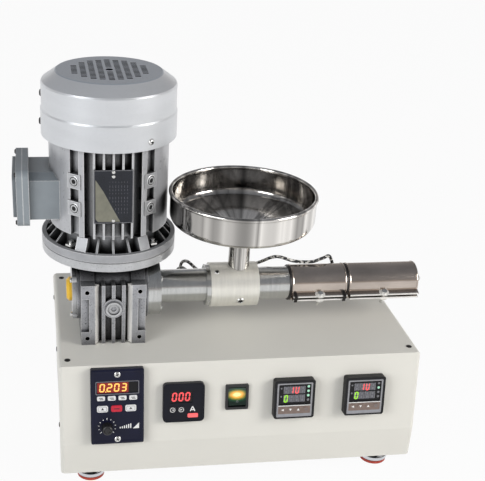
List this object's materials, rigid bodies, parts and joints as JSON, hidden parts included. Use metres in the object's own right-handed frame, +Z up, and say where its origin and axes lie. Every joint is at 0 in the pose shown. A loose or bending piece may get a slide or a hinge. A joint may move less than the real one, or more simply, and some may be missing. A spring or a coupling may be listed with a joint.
{
  "type": "filament extruder",
  "caption": "Desktop filament extruder: a heated screw barrel with an open hopper, driven by a vertical geared motor, on a control cabinet.",
  "frame": {"origin": "middle of the bounding box, on the ground under the feet", "axes": "+X along the barrel towards the nozzle, +Y from the control panel to the back, +Z up"},
  "size_m": [0.4894, 0.2688, 0.456],
  "materials": {
    "cabinet_paint": "satin powder coat",
    "foot_steel": "polished",
    "foot_stem": "dark zinc",
    "foot_rubber": "matte",
    "black_plastic": "moulded",
    "gear_casting": "die cast",
    "cap_plastic": "moulded",
    "plug_steel": "zinc plated",
    "motor_casting": "extruded and machined",
    "nameplate_black": "printed plate",
    "cowl_metal": "satin spun sheet",
    "box_grey": "blue-grey coat",
    "barrel_steel": "turned",
    "feed_steel": "satin",
    "heater_steel": "polished and heat tinted",
    "block_ceramic": "unglazed",
    "lead_sleeve": "braided",
    "grommet_rubber": "matte",
    "nut_black": "blackened",
    "tip_steel": "bright",
    "hopper_steel": "polished",
    "instrument_black": "moulded",
    "display_dark": "tinted window",
    "key_grey": "moulded",
    "rocker_green": "clear tinted"
  },
  "bodies": {
    "machine": {"cabinet_cover": "cabinet_paint", "left_side": "cabinet_paint", "right_side": "cabinet_paint", "rear_panel": "cabinet_paint", "base_plate": "cabinet_paint", "foot_stems": "foot_stem", "foot_cups": "foot_steel", "foot_pads": "foot_rubber", "power_inlet": "black_plastic", "gearbox_housing": "gear_casting", "bearing_cover": "gear_casting", "output_cap": "cap_plastic", "oil_plug": "plug_steel", "input_flange": "gear_casting", "motor_flange": "motor_casting", "motor_body": "motor_casting", "nameplate": "nameplate_black", "cooling_fan": "black_plastic", "fan_cover": "cowl_metal", "terminal_box": "box_grey", "terminal_lid": "box_grey", "cable_gland": "black_plastic", "output_flange": "barrel_steel", "rear_barrel": "barrel_steel", "barrel_collar": "barrel_steel", "feed_block": "feed_steel", "front_barrel": "barrel_steel", "feed_screw": "barrel_steel", "heater_rear": "heater_steel", "heater_front": "heater_steel", "heater_clamps": "plug_steel", "heater_blocks": "block_ceramic", "heater_leads": "lead_sleeve", "lead_grommet": "grommet_rubber", "nozzle_nut": "nut_black", "nozzle_tip": "tip_steel", "hopper_bowl": "hopper_steel", "hopper_pipe": "hopper_steel", "speed_controller": "instrument_black", "ammeter": "instrument_black", "rocker_frame": "black_plastic", "temperature_controller_1": "instrument_black", "temperature_controller_2": "instrument_black", "display_windows": "display_dark", "panel_keys": "key_grey"},
    "knob": {"speed_knob": "black_plastic"},
    "switch": {"rocker": "rocker_green"}
  },
  "joints": [
    {"name": "knob_turn", "type": "hinge", "parent": "machine", "child": "knob", "pos_m": [-0.14751, -0.12261, 0.08505], "axis": [0, -0.9883, 0.1528], "range_deg": [-150, 150]},
    {"name": "rocker_tilt", "type": "hinge", "parent": "machine", "child": "switch", "pos_m": [0.00302, -0.10854, 0.11058], "axis": [1, 0, 0], "range_deg": [0, 22]}
  ]
}
